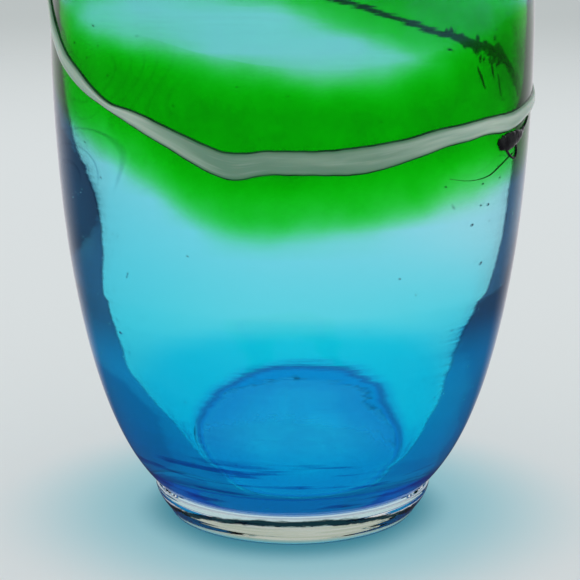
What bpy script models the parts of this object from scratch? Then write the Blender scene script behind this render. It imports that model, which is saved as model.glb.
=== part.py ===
"""Hand blown art glass vase: aqua glass cased in clear, with a green colour band, a white ribbon laid on a
dark trail, and an applied clear foot.  Metres, +Z up, origin at the centre of the foot's underside."""

from math import acos, atan2, cos, degrees, exp, pi, radians, sin, sqrt

import bmesh
import bpy
from mathutils import Vector

# ---------------------------------------------------------------- driving dimensions (metres)
MAX_RADIUS = 0.075          # the widest place of the body
WIDEST_Z = 0.155            # and its height
LOWER_SQUARENESS = 0.268    # exponent of the lower body's curve: smaller is more barrel-like
SHOULDER_SPAN = 0.118       # height above the widest place in which the shoulder's curve would close
UPPER_SQUARENESS = 0.27
NECK_Z = 0.250              # where the shoulder's curve gives way to the flared lip
LIP_ARC_RADIUS = 0.014      # hollow arc of the neck
LIP_FLARE = radians(20)     # lean of the lip from the vertical, outwards
FOOT_HEIGHT = 0.0105
FOOT_TOP_RADIUS = 0.0448
CONTACT_RADIUS = 0.0400     # outer edge of the ring that stands on the table
PONTIL_RADIUS = 0.0240      # ground hollow under the foot
PONTIL_DEPTH = 0.0016
FOOT_EDGE_ROUND = 0.0018    # height of the rounding at the foot's lower edge
FOOT_EDGE_WIDTH = 0.0021    # and its width

WALL_TOP = 0.0027           # full wall from the widest place to the rim
CAVITY_SQUARENESS = 0.2485
CAVITY_BASE_Z = 0.0210      # where the hollow's upper curve would close
CAVITY_FLOOR_Z = 0.0215
CAVITY_FLOOR_RADIUS = 0.0365
# The hollow's conical heel, from the floor's corner upwards: radius and height in millimetres.
CAVITY_HEEL = (
    (38.4, 22.4),
    (39.9, 24.2),
    (42.7, 28.2),
    (45.8, 33.0),
    (49.7, 40.0),
    (53.2, 47.0),
    (56.0, 54.0),
    (58.5, 62.0),
    (60.7, 70.0),
    (62.6, 78.0),
)
CAVITY_SHRINK = 0.0016      # the bubble is a little narrower at CAVITY_SHIFT_Z
CAVITY_SHIFT = 0.0018       # and sits off-centre there, towards +X
CAVITY_SHIFT_Z = 0.092
CAVITY_SHIFT_REACH = 0.026
FLOOR_SHIFT = 0.0020        # the hollow's floor is off-centre too
FLOOR_NARROWING = 0.047     # it is an oval, narrower from side to side
FLOOR_LENGTHENING = 0.045   # and longer from front to back
FLOOR_TILT = 0.080          # it rises towards the back, by this much per metre of depth
FLOOR_REACH_Z = 0.055       # height at which all this has faded out
HEEL_SHIFT_BACK = 0.0022    # the whole heel of the hollow sits back, up to HEEL_SHIFT_LOW_Z,
HEEL_SHIFT_LOW_Z = 0.045
HEEL_SHIFT_HIGH_Z = 0.080   # and not at all from here

CASING_TOP = 0.0011         # clear casing, from the widest place to the rim
CASING_HEEL = 0.0024        # and at the heel
LIP_ROLL = 0.0050           # the casing rolls over the rim and covers the aqua glass this far down
BAND_THICKNESS = 0.0005
GAP = 0.0003                # hairline between pieces that are laid on each other
MIN_STEP = 0.0005           # least height between two rings of a turned profile

TRAIL_SINK = 0.0003         # how far the dark trail lies in the casing
TRAIL_HEIGHT = 0.0005
RIBBON_HEIGHT = 0.0007
TRAIL_EDGE = 0.0006         # dark trail showing beyond each side of the ribbon
KNOT_HEIGHT = 0.0011
FRIT_HEIGHT = 0.0008
BEAD_SHOULDER = 0.55        # of a bead's height, where its rounded crown begins
BEAD_CROWN = 0.27           # half the width of its crown, as a share of its width
CUTTER_TOP = 0.004          # how far above the surface the grooves' cutters reach
POCKET_OPEN = 0.0004        # how far the band's pocket reaches out past the aqua glass

SEGMENTS = 48               # round the body
LOOP_STEPS = 80             # round the trails
SHARP_ANGLE = radians(40)

# ---------------------------------------------------------------- laid-on glass: freehand routes
# Angles are in degrees round +Z from the front (-Y), positive towards +X; heights and widths in millimetres.
# The trail's loop: angle, height, width of the white ribbon.
TRAIL_ROUTE = (
    (-170, 167.0, 1.3),
    (-150, 173.0, 1.6),
    (-130, 177.5, 2.2),
    (-112, 179.0, 2.8),
    (-98, 176.3, 3.2),
    (-86, 170.6, 3.8),
    (-76, 162.0, 4.2),
    (-66, 151.5, 4.6),
    (-56, 144.3, 4.0),
    (-46, 138.5, 1.9),
    (-38, 135.6, 3.6),
    (-29, 131.2, 5.2),
    (-20, 126.2, 6.2),
    (-13, 123.4, 7.2),
    (-5, 124.6, 6.2),
    (12, 124.8, 6.9),
    (25, 127.0, 6.4),
    (36, 129.8, 5.2),
    (48, 131.4, 4.8),
    (60, 131.8, 5.0),
    (70, 133.6, 4.4),
    (84, 136.0, 3.4),
    (97, 139.5, 2.6),
    (108, 144.5, 2.0),
    (120, 147.0, 1.6),
    (142, 152.0, 1.2),
    (165, 159.5, 1.2),
)
# The green band's lower and upper edge: angle, lower height, upper height.
BAND_EDGES = (
    (-170, 158.0, 187.0),
    (-140, 164.0, 194.0),
    (-112, 160.0, 194.0),
    (-95, 150.0, 188.0),
    (-80, 139.0, 174.0),
    (-67, 131.0, 161.0),
    (-52, 124.5, 156.0),
    (-30, 114.5, 152.5),
    (-8, 102.5, 146.8),
    (10, 102.5, 145.2),
    (26, 104.5, 147.5),
    (42, 111.0, 152.5),
    (60, 116.5, 158.0),
    (98, 126.0, 164.0),
    (138, 137.0, 170.0),
    (160, 145.5, 177.0),
)
# The knot and its tail: angle, height, width along the route, from its root to the tip.
KNOT_ROUTE = (
    (72.0, 128.3, 0.9),
    (67.0, 126.6, 2.0),
    (61.5, 124.9, 4.3),
    (57.0, 122.4, 3.6),
    (53.5, 119.2, 1.1),
    (49.0, 116.8, 0.8),
    (43.5, 116.5, 0.8),
    (38.0, 117.7, 0.7),
)
# The patch of frit: angle, height and width along its route.
FRIT_ROUTE = (
    (102.0, 137.2, 1.6),
    (107.0, 139.3, 2.8),
    (113.0, 141.6, 3.4),
    (120.0, 143.0, 3.0),
    (127.0, 144.5, 1.5),
)


# ---------------------------------------------------------------- curves
def catmull(a, b, c, d, t):
    """A smooth value between b and c, from four neighbouring control values."""
    rise = (c - a) * t
    bend = (2 * a - 5 * b + 4 * c - d) * t ** 2
    twist = (3 * b - a - 3 * c + d) * t ** 3
    return b + 0.5 * (rise + bend + twist)


def smooth_loop(points, angle):
    """The other values of a closed list of (angle, value, ...) control points, at any angle in degrees."""
    count = len(points)
    first = points[0][0]
    angle = (angle - first) % 360 + first
    knots = [p[0] for p in points] + [first + 360]
    i = max(k for k in range(count) if knots[k] <= angle)
    t = (angle - knots[i]) / (knots[i + 1] - knots[i])
    near = [points[(i + k) % count] for k in (-1, 0, 1, 2)]
    return [catmull(*(p[j] for p in near), t) for j in range(1, len(points[0]))]


def smooth_route(points, steps):
    """steps + 1 places along an open list of control points."""
    route = []
    spans = len(points) - 1
    for s in range(steps + 1):
        at = min(s * spans / steps, spans - 1e-9)
        i = int(at)
        near = [points[min(max(i + k, 0), spans)] for k in (-1, 0, 1, 2)]
        route.append([catmull(*(p[j] for p in near), at - i) for j in range(len(points[0]))])
    return route


def body_radius(z):
    """Outer radius of the body between the foot and the neck: two superellipse-like arcs."""
    if z <= WIDEST_Z:
        return MAX_RADIUS * (1 - ((WIDEST_Z - z) / WIDEST_Z) ** 2) ** LOWER_SQUARENESS
    return MAX_RADIUS * (1 - ((z - WIDEST_Z) / SHOULDER_SPAN) ** 2) ** UPPER_SQUARENESS


def profile_normal(profile, i):
    """Outward normal of a profile that runs upwards, at point i."""
    a = Vector(profile[max(i - 1, 0)])
    b = Vector(profile[min(i + 1, len(profile) - 1)])
    along = (b - a).normalized()
    return Vector((along.y, -along.x))


def inset(profile, thickness):
    """The profile moved inwards along its normals by thickness(z)."""
    moved = []
    for i, (r, z) in enumerate(profile):
        n = profile_normal(profile, i)
        moved.append((r - n.x * thickness(z), z - n.y * thickness(z)))
    return moved


def at_height(profile, z):
    """The point of an upward profile at height z."""
    for (r0, z0), (r1, z1) in zip(profile, profile[1:]):
        if z0 <= z <= z1:
            return (r0 + (r1 - r0) * (z - z0) / (z1 - z0), z)
    raise ValueError("height outside the profile")


def outer_profile(bottom_z):
    """(radius, height) from bottom_z up the body and the flared lip, to the rim's outer edge."""
    points = []
    lower_steps = 8
    start = (pi / 2) - acos((WIDEST_Z - bottom_z) / WIDEST_Z)
    for i in range(lower_steps + 1):
        z = WIDEST_Z - WIDEST_Z * sin(start * (1 - i / lower_steps))
        points.append((body_radius(z), z))
    upper_steps = 4
    end = (pi / 2) - acos((NECK_Z - WIDEST_Z) / SHOULDER_SPAN)
    for i in range(1, upper_steps + 1):
        z = WIDEST_Z + SHOULDER_SPAN * sin(end * i / upper_steps)
        points.append((body_radius(z), z))
    step = 1e-4
    lean = atan2(body_radius(NECK_Z) - body_radius(NECK_Z - step), step)
    arc_steps = 3
    r, z = points[-1]
    centre = (r + LIP_ARC_RADIUS * cos(lean), z - LIP_ARC_RADIUS * sin(lean))
    for i in range(1, arc_steps + 1):
        turn = lean + (LIP_FLARE - lean) * i / arc_steps
        points.append((centre[0] - LIP_ARC_RADIUS * cos(turn), centre[1] + LIP_ARC_RADIUS * sin(turn)))
    return points


def casing_thickness(z):
    """Clear casing: even above the widest place, thicker towards the heel."""
    low = max(0.0, 1 - z / WIDEST_Z)
    return CASING_TOP + (CASING_HEEL - CASING_TOP) * low * low * (3 - 2 * low)


def cavity_bump(z):
    """1 at the height where the bubble is most off-centre, falling to 0 above and below it."""
    return exp(-((z - CAVITY_SHIFT_Z) / CAVITY_SHIFT_REACH) ** 2)


def cavity_upper_radius(z):
    """Radius of the hollow's upper curve."""
    u = (WIDEST_Z - z) / (WIDEST_Z - CAVITY_BASE_Z)
    return (MAX_RADIUS - WALL_TOP) * (1 - u * u) ** CAVITY_SQUARENESS - CAVITY_SHRINK * cavity_bump(z)


def cavity_profile():
    """(radius, height) of the hollow, from the centre of its floor up to the rim's inner edge."""
    points = [(CAVITY_FLOOR_RADIUS * share, CAVITY_FLOOR_Z) for share in (0.0, 0.5, 1.0)]
    heel_steps = 12
    points += [(r / 1000, z / 1000) for r, z in smooth_route(CAVITY_HEEL, heel_steps)]
    last_r, last_z = points[-1]
    widening = last_r - cavity_upper_radius(last_z)
    steps = 4
    for i in range(1, steps + 1):
        z = last_z + (WIDEST_Z - last_z) * i / steps
        points.append((cavity_upper_radius(z) + widening * (1 - i / steps), z))
    above = inset(outer_profile(WIDEST_Z), lambda z: WALL_TOP)
    return points + [p for p in above if p[1] > WIDEST_Z + MIN_STEP]


def fading(z, low, high):
    """1 up to the height low, falling smoothly to 0 at the height high."""
    t = min(1.0, max(0.0, (z - low) / (high - low)))
    return 1 - t * t * (3 - 2 * t)


def shift_cavity(vertices):
    """Moves the hollow's rings off-centre, and makes its floor a tilted oval."""
    for v in vertices:
        z = v.co.z
        floor = fading(z, CAVITY_FLOOR_Z, FLOOR_REACH_Z)
        v.co.z += FLOOR_TILT * floor * v.co.y
        v.co.x = v.co.x * (1 - FLOOR_NARROWING * floor) + CAVITY_SHIFT * cavity_bump(z) + FLOOR_SHIFT * floor
        back = HEEL_SHIFT_BACK * fading(z, HEEL_SHIFT_LOW_Z, HEEL_SHIFT_HIGH_Z)
        v.co.y = v.co.y * (1 + FLOOR_LENGTHENING * floor) + back


# ---------------------------------------------------------------- mesh helpers
def new_object(name, bm):
    mesh = bpy.data.meshes.new(name)
    bmesh.ops.recalc_face_normals(bm, faces=bm.faces)
    if bm.calc_volume(signed=True) < 0:
        bmesh.ops.reverse_faces(bm, faces=bm.faces)
    bm.to_mesh(mesh)
    bm.free()
    mesh.shade_smooth()
    mesh.set_sharp_from_angle(angle=SHARP_ANGLE)
    ob = bpy.data.objects.new(name, mesh)
    bpy.context.collection.objects.link(ob)
    return ob


def turned(name, outline, closed, hollow=()):
    """A turned solid from an outline of (radius, height), with the points listed in hollow shifted off-centre.
    An open outline starts and ends on the axis."""
    bm = bmesh.new()
    verts = [bm.verts.new((r, 0, z)) for r, z in outline]
    edges = [bm.edges.new(pair) for pair in zip(verts, verts[1:])]
    if closed:
        edges.append(bm.edges.new((verts[-1], verts[0])))
    bmesh.ops.spin(bm, geom=verts + edges, cent=(0, 0, 0), axis=(0, 0, 1), angle=2 * pi, steps=SEGMENTS,
                   use_merge=True)
    bmesh.ops.remove_doubles(bm, verts=bm.verts, dist=1e-6)
    places = {(round(r, 7), round(z, 7)) for r, z in hollow}
    moved = []
    for v in bm.verts:
        if (round(sqrt(v.co.x ** 2 + v.co.y ** 2), 7), round(v.co.z, 7)) in places:
            moved.append(v)
    shift_cavity(moved)
    return new_object(name, bm)


def surface_frame(angle, z):
    """The point on the body's outer surface at an angle (degrees) and height, with its normal."""
    turn = radians(angle)
    step = 1e-4
    slope = (body_radius(z + step) - body_radius(z - step)) / (2 * step)
    outwards = Vector((sin(turn), -cos(turn), 0))
    normal = (outwards - Vector((0, 0, slope))).normalized()
    return outwards * body_radius(z) + Vector((0, 0, z)), normal


def swept(name, stations, low, high, closed):
    """A flattened bead on the body's surface.  stations are (angle, height mm, width m); low and high are its
    bottom and crown above the surface."""
    bm = bmesh.new()
    rings = []
    count = len(stations)
    for i, (angle, z, width) in enumerate(stations):
        here, normal = surface_frame(angle, z / 1000)
        after = stations[(i + 1) % count] if closed else stations[min(i + 1, count - 1)]
        before = stations[i - 1] if closed else stations[max(i - 1, 0)]
        along = surface_frame(after[0], after[1] / 1000)[0] - surface_frame(before[0], before[1] / 1000)[0]
        side = normal.cross(along).normalized()
        shoulder = low + (high - low) * BEAD_SHOULDER
        crown = BEAD_CROWN
        section = ((-0.5, low), (0.5, low), (0.5, shoulder), (crown, high), (-crown, high), (-0.5, shoulder))
        rings.append([bm.verts.new(here + side * width * s + normal * lift) for s, lift in section])
    pairs = list(zip(rings, rings[1:]))
    if closed:
        pairs.append((rings[-1], rings[0]))
    for a, b in pairs:
        for k in range(len(a)):
            m = (k + 1) % len(a)
            bm.faces.new((a[k], a[m], b[m], b[k]))
    if not closed:
        bm.faces.new(rings[0])
        bm.faces.new(reversed(rings[-1]))
    return new_object(name, bm)


def band_shell(name, outer_depth, inner_depth, margin):
    """A closed shell between two depths under the casing's inner face, following the green band's edges."""
    rows = 5
    seat = inset(outer_profile(FOOT_HEIGHT + GAP), casing_thickness)
    bm = bmesh.new()
    columns = []
    for s in range(SEGMENTS):
        angle = 360 * s / SEGMENTS
        outwards = Vector((sin(radians(angle)), -cos(radians(angle)), 0))
        low, high = smooth_loop(BAND_EDGES, angle)
        low = low / 1000 - margin
        high = high / 1000 + margin
        heights = [low + (high - low) * k / rows for k in range(rows + 1)]
        column = []
        for depth, order in ((outer_depth, heights), (inner_depth, heights[::-1])):
            for z in order:
                r = at_height(seat, z)[0] - depth
                column.append(bm.verts.new(outwards * r + Vector((0, 0, z))))
        columns.append(column)
    for a, b in zip(columns, columns[1:] + columns[:1]):
        for k in range(len(a)):
            m = (k + 1) % len(a)
            bm.faces.new((a[k], a[m], b[m], b[k]))
    return new_object(name, bm)


def cut(target, cutter):
    """Takes cutter out of target with a Boolean, and leaves cutter as a hidden guide."""
    cutter.hide_render = True
    cutter.display_type = "WIRE"
    modifier = target.modifiers.new(cutter.name, "BOOLEAN")
    modifier.operation = "DIFFERENCE"
    modifier.object = cutter


def give_material(ob, name, colour, roughness, transmission=0.0, metallic=0.0):
    material = bpy.data.materials.new(name)
    material.use_nodes = True
    shader = material.node_tree.nodes["Principled BSDF"]
    shader.inputs["Base Color"].default_value = (*colour, 1)
    shader.inputs["Roughness"].default_value = roughness
    shader.inputs["Metallic"].default_value = metallic
    shader.inputs["Transmission Weight"].default_value = transmission
    shader.inputs["IOR"].default_value = 1.5
    material.diffuse_color = (*colour, 1)
    ob.data.materials.append(material)


# ---------------------------------------------------------------- the pieces
def make_casing():
    """Clear outer skin, open at the bottom, rolled over the rim, with a rebate for the aqua gather's edge."""
    outer = outer_profile(FOOT_HEIGHT + GAP)
    inner = inset(outer, casing_thickness)
    inner[0] = (inner[0][0], outer[0][1])
    wall = inset(outer, lambda z: WALL_TOP)
    rim = Vector(outer[-1])
    rim_inner = Vector(wall[-1])
    middle = (rim + rim_inner) / 2
    half = (rim - rim_inner) / 2
    up = Vector((-half.y, half.x))
    crown = [tuple(middle + half * cos(radians(a)) + up * sin(radians(a))) for a in (36, 72, 108, 144)]
    edge_z = rim.y - LIP_ROLL
    roll = [p for p in reversed(wall) if p[1] > edge_z]
    rebate = at_height(wall, edge_z)
    seat = at_height(inner, edge_z)
    below = [p for p in reversed(inner) if p[1] < edge_z - MIN_STEP]
    outline = outer + crown + roll + [rebate, seat] + below
    return turned("clear_outer_casing", outline, closed=True)


def make_lining():
    """Aqua gather: the wall's inner glass with the thick heel and the closed floor of the hollow."""
    outer = outer_profile(FOOT_HEIGHT + GAP)
    skin = inset(outer, lambda z: casing_thickness(z) + GAP)
    skin[0] = (skin[0][0], FOOT_HEIGHT + GAP)
    hollow = cavity_profile()
    edge_z = outer[-1][1] - LIP_ROLL - GAP
    outside = [p for p in skin if p[1] < edge_z - MIN_STEP] + [at_height(skin, edge_z)]
    inside = [p for p in hollow if p[1] < edge_z - MIN_STEP] + [at_height(hollow, edge_z)]
    underside = [(0.0, FOOT_HEIGHT + GAP), (outside[0][0] * 0.5, FOOT_HEIGHT + GAP)]
    outline = underside + outside + inside[::-1]
    return turned("aqua_inner_gather", outline, closed=False, hollow=inside)


def make_foot():
    """Clear disc with a ground standing ring and a hollow pontil mark."""
    underside = [(0.0, PONTIL_DEPTH)]
    underside += [(PONTIL_RADIUS * sin(a), PONTIL_DEPTH * cos(a)) for a in (pi / 6, pi / 3, pi / 2)]
    corner = []
    for a in (-90, -60, -30, 0):
        x = CONTACT_RADIUS - FOOT_EDGE_ROUND + FOOT_EDGE_WIDTH * cos(radians(a))
        corner.append((x, FOOT_EDGE_ROUND + FOOT_EDGE_ROUND * sin(radians(a))))
    side = []
    for t in (0.3, 0.6, 0.85, 1.0):
        r = corner[-1][0] + (FOOT_TOP_RADIUS - corner[-1][0]) * sin(pi / 2 * t)
        side.append((r, FOOT_EDGE_ROUND + (FOOT_HEIGHT - FOOT_EDGE_ROUND) * t))
    top = [(FOOT_TOP_RADIUS * 0.5, FOOT_HEIGHT), (0.0, FOOT_HEIGHT)]
    return turned("clear_foot_disc", underside + corner + side + top, closed=False)


def make_band():
    return band_shell("green_colour_band", GAP, GAP + BAND_THICKNESS, 0.0)


def make_band_pocket():
    return band_shell("band_pocket", -POCKET_OPEN, BAND_THICKNESS + 2 * GAP, GAP)


def loop_stations(extra):
    """The trail's route round the body, with extra width added to the ribbon's."""
    stations = []
    for s in range(LOOP_STEPS):
        angle = 360 * s / LOOP_STEPS
        z, width = smooth_loop(TRAIL_ROUTE, angle)
        stations.append((angle, z, width / 1000 + extra))
    return stations


def open_stations(route, extra, steps):
    return [(angle, z, width / 1000 + extra) for angle, z, width in smooth_route(route, steps)]


def make_trails():
    dark_low = -TRAIL_SINK
    dark_high = dark_low + TRAIL_HEIGHT
    dark = swept("dark_under_trail", loop_stations(2 * TRAIL_EDGE), dark_low, dark_high, closed=True)
    white_low = dark_high + GAP
    white = swept("white_ribbon_trail", loop_stations(0.0), white_low, white_low + RIBBON_HEIGHT, closed=True)
    wide = loop_stations(2 * TRAIL_EDGE + 2 * GAP)
    groove = swept("trail_groove", wide, dark_low - GAP, CUTTER_TOP, closed=True)
    return dark, white, groove


def lengthened(before, end):
    """The end of an open route, moved on by the hairline gap."""
    turn = degrees(2 * GAP / MAX_RADIUS)
    return (end[0] + turn if end[0] > before[0] else end[0] - turn, end[1], end[2])


def make_lump(name, route, steps, height):
    """A bead of glass let into the casing along an open route, and the cutter for its seat."""
    lump = swept(name, open_stations(route, 0.0, steps), -TRAIL_SINK, height - TRAIL_SINK, closed=False)
    first = lengthened(route[1], route[0])
    last = lengthened(route[-2], route[-1])
    longer = (first,) + route[1:-1] + (last,)
    wide = open_stations(longer, 2 * GAP, steps)
    seat = swept(name + "_seat", wide, -TRAIL_SINK - GAP, CUTTER_TOP, closed=False)
    return lump, seat


def main():
    for ob in list(bpy.data.objects):
        bpy.data.objects.remove(ob)

    casing = make_casing()
    lining = make_lining()
    foot = make_foot()
    band = make_band()
    dark, white, groove = make_trails()
    knot, knot_seat = make_lump("dark_trail_knot", KNOT_ROUTE, 18, KNOT_HEIGHT)
    frit, frit_seat = make_lump("dark_frit_patch", FRIT_ROUTE, 14, FRIT_HEIGHT)

    cut(lining, make_band_pocket())
    cut(casing, groove)
    cut(casing, knot_seat)
    cut(casing, frit_seat)

    give_material(casing, "clear_glass", (0.93, 0.97, 0.97), 0.02, transmission=1.0)
    give_material(lining, "aqua_glass", (0.10, 0.62, 0.80), 0.02, transmission=0.9)
    give_material(foot, "foot_glass", (0.88, 0.90, 0.86), 0.05, transmission=1.0)
    give_material(band, "green_glass", (0.01, 0.36, 0.02), 0.05, transmission=0.7)
    give_material(dark, "dark_green_glass", (0.01, 0.06, 0.03), 0.08)
    give_material(white, "white_glass", (0.50, 0.56, 0.50), 0.12)
    give_material(knot, "black_glass", (0.02, 0.015, 0.03), 0.08)
    give_material(frit, "frit_glass", (0.01, 0.09, 0.03), 0.20)


main()
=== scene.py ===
"""Looks of the hand blown glass vase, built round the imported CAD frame.  Metres, +Z up, front towards -Y."""
import random
from math import asin, atan2, cos, exp, pi, radians, sin, sqrt

import bpy
import numpy as np
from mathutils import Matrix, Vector, noise


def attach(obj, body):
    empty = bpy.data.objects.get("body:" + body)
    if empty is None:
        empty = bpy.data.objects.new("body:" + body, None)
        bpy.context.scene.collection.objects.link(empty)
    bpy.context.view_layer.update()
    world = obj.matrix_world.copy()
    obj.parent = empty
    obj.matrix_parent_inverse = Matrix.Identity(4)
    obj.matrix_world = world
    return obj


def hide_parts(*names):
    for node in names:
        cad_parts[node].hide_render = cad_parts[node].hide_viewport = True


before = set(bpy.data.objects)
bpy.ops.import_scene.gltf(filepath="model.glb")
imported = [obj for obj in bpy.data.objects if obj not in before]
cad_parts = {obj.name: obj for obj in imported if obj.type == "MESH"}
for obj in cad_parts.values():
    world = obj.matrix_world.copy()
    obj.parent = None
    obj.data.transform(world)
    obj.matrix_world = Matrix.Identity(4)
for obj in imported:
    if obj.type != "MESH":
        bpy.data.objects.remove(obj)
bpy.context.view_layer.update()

# ---------------------------------------------------------------- sizes, the same as the CAD's
# The body's outside: widest radius and its height, and how square the curve is below and above it.
MAX_RADIUS = 0.075
WIDEST_Z = 0.155
LOWER_SQUARENESS = 0.268
SHOULDER_SPAN = 0.118
UPPER_SQUARENESS = 0.27
NECK_Z = 0.250
LIP_ARC_RADIUS = 0.014
LIP_FLARE = radians(20)
# The clear foot disc.
FOOT_HEIGHT = 0.0105
FOOT_TOP_RADIUS = 0.0448
CONTACT_RADIUS = 0.0400
PONTIL_RADIUS = 0.0240
PONTIL_DEPTH = 0.0016
FOOT_EDGE_ROUND = 0.0018
FOOT_CORNER_REACH = 1.15
FOOT_TOP_CHAMFER = 0.0003
# The hollow: its upper curve, its floor, and its heel as (radius, height) in millimetres.
WALL_TOP = 0.0027
CAVITY_SQUARENESS = 0.2485
CAVITY_BASE_Z = 0.0210
CAVITY_FLOOR_Z = 0.0215
CAVITY_FLOOR_RADIUS = 0.0365
CAVITY_HEEL = (
    (38.4, 22.4), (39.9, 24.2), (42.7, 28.2), (45.8, 33.0), (49.7, 40.0), (53.2, 47.0), (56.0, 54.0),
    (58.5, 62.0), (60.7, 70.0), (62.6, 78.0),
)
# Where the hollow is not round and centred: narrower and shifted at mid-height, with an oval tilted
# floor and a heel set back.
CAVITY_SHRINK = 0.0016
CAVITY_SHIFT = 0.0018
CAVITY_SHIFT_Z = 0.092
CAVITY_SHIFT_REACH = 0.026
FLOOR_SHIFT = 0.0020
FLOOR_NARROWING = 0.047
FLOOR_LENGTHENING = 0.045
FLOOR_TILT = 0.080
FLOOR_REACH_Z = 0.055
HEEL_SHIFT_BACK = 0.0022
HEEL_SHIFT_LOW_Z = 0.045
HEEL_SHIFT_HIGH_Z = 0.080
# The layers.
CASING_TOP = 0.0011
CASING_HEEL = 0.0024
LIP_ROLL = 0.0050
BAND_THICKNESS = 0.0005
BAND_MARGIN_BELOW = 0.006
BAND_MARGIN_ABOVE = 0.005
GAP = 0.0003

# ---------------------------------------------------------------- fineness and small detail
AROUND = 224
BODY_STEPS = 64
SHOULDER_STEPS = 30
LIP_STEPS = 12
TRAIL_STEPS = 420
BEAD_POINTS = 12
SEEDS = 230
FLOOR_SEEDS = 26
THICK_WALL_TOP = 0.115
THIN_WALL_SEED = 0.00026
SEED_SIZES = (0.00018, 0.00022, 0.00026, 0.00032, 0.00042)
FLOOR_SEED_SIZES = (0.00016, 0.00022, 0.00030)
SEED_HEIGHTS = (0.028, 0.235)
SEED_CLEARANCE = 0.0008
SEED_AROUND = 8
SEED_RINGS = 5
FRIT_BITS = 260
FRIT_SIZES = (0.0004, 0.0005, 0.0006, 0.0008, 0.0011)
DARK_TRAIL_MARGIN = 0.0008
DARK_TRAIL_HEIGHT = 0.00040
RIBBON_HEIGHT = 0.00105
KNOT_HEIGHT = 0.0010
SPLINTER_HEIGHT = 0.0007
THINNEST_THREAD = 0.13
SKIN_IOR_RISE = 0.5

# ---------------------------------------------------------------- routes on the wall
# Angle from the front in degrees (right is positive), height and width in millimetres.
TRAIL_ROUTE = (
    (-170, 167.0, 1.3), (-150, 173.0, 1.6), (-130, 177.5, 2.2), (-112, 179.0, 2.8), (-98, 176.3, 3.2),
    (-86, 170.6, 3.8), (-76, 162.0, 4.2), (-66, 151.5, 4.6), (-56, 144.3, 4.0), (-46, 138.5, 1.9),
    (-38, 135.6, 3.6), (-29, 131.2, 5.2), (-20, 126.2, 6.2), (-13, 123.4, 7.2), (-5, 124.6, 6.2),
    (12, 124.8, 6.9), (25, 127.0, 6.4), (36, 129.8, 5.2), (48, 131.4, 4.8), (60, 131.8, 5.0),
    (70, 133.6, 4.4), (84, 136.0, 3.4), (97, 139.5, 2.6), (108, 144.5, 2.0), (120, 147.0, 1.6),
    (142, 152.0, 1.2), (165, 159.5, 1.2),
)
# Angle, lower edge and upper edge of the green overlay.
BAND_EDGES = (
    (-170, 158.0, 187.0), (-140, 164.0, 194.0), (-112, 160.0, 194.0), (-95, 150.0, 188.0),
    (-80, 140.0, 174.0), (-67, 132.0, 161.0), (-52, 124.5, 156.0), (-34, 114.5, 153.5),
    (-20, 103.5, 149.6), (-8, 101.5, 146.8), (10, 102.5, 145.2), (26, 104.5, 147.5),
    (42, 111.0, 152.5), (60, 116.5, 158.0), (98, 126.0, 164.0), (138, 137.0, 170.0), (160, 145.5, 177.0),
)
KNOT_ROUTE = (
    (73.0, 131.0, 0.35), (71.0, 129.6, 0.6), (68.5, 128.2, 1.0), (65.8, 127.0, 2.4), (62.5, 126.2, 4.6),
    (58.8, 125.6, 5.4), (55.8, 125.6, 4.2), (54.0, 126.4, 1.6),
)
LOOP_ROUTE = (
    (57.8, 123.6, 0.9), (59.6, 121.8, 0.8), (61.8, 120.3, 0.7), (63.6, 120.2, 0.8), (64.2, 122.0, 0.8),
    (63.2, 124.6, 1.0),
)
THREAD_ROUTE = (
    (62.0, 121.6, 0.30), (59.4, 120.6, 0.26), (55.8, 118.9, 0.22), (50.8, 116.6, 0.19), (44.1, 116.2, 0.16),
    (37.6, 117.6, 0.14),
)
FRIT_ROUTE = (
    (104.5, 142.4, 2.2), (108.0, 144.2, 5.4), (112.0, 144.4, 7.4), (116.0, 144.8, 8.2), (120.0, 145.4, 7.6),
    (124.0, 146.6, 5.6), (128.5, 148.8, 3.4), (133.0, 150.6, 1.6),
)
# Long bits that lie apart from the patch: angle and height of both ends, width.
FRIT_SPLINTERS = (
    ((120.4, 138.4), (115.6, 131.6), 0.9), ((113.6, 141.2), (110.6, 135.6), 0.8),
    ((132.6, 143.8), (130.4, 142.6), 1.0), ((108.4, 137.4), (105.6, 131.0), 0.5),
)


# ---------------------------------------------------------------- curves
def catmull(a, b, c, d, t):
    """A smooth curve's value between b (t = 0) and c (t = 1)."""
    square = (2 * a - 5 * b + 4 * c - d) * t * t
    cube = (3 * b - a - 3 * c + d) * t ** 3
    return 0.5 * ((2 * b) + (c - a) * t + square + cube)


def smooth_loop(points, angle):
    """The values of a closed route at an angle in degrees."""
    count = len(points)
    first = points[0][0]
    angle = (angle - first) % 360 + first
    knots = [p[0] for p in points] + [first + 360]
    i = max(k for k in range(count) if knots[k] <= angle)
    t = (angle - knots[i]) / (knots[i + 1] - knots[i])
    near = [points[(i + k) % count] for k in (-1, 0, 1, 2)]
    return [catmull(*(p[j] for p in near), t) for j in range(1, len(points[0]))]


def smooth_route(points, steps):
    """An open route, resampled evenly."""
    route = []
    spans = len(points) - 1
    for s in range(steps + 1):
        at = min(s * spans / steps, spans - 1e-9)
        i = int(at)
        near = [points[min(max(i + k, 0), spans)] for k in (-1, 0, 1, 2)]
        route.append([catmull(*(p[j] for p in near), at - i) for j in range(len(points[0]))])
    return route


def smoothstep(low, high, x):
    t = min(max((x - low) / (high - low), 0.0), 1.0)
    return t * t * (3 - 2 * t)


def body_radius(z):
    if z <= WIDEST_Z:
        return MAX_RADIUS * (1 - ((WIDEST_Z - z) / WIDEST_Z) ** 2) ** LOWER_SQUARENESS
    return MAX_RADIUS * (1 - ((z - WIDEST_Z) / SHOULDER_SPAN) ** 2) ** UPPER_SQUARENESS


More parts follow.
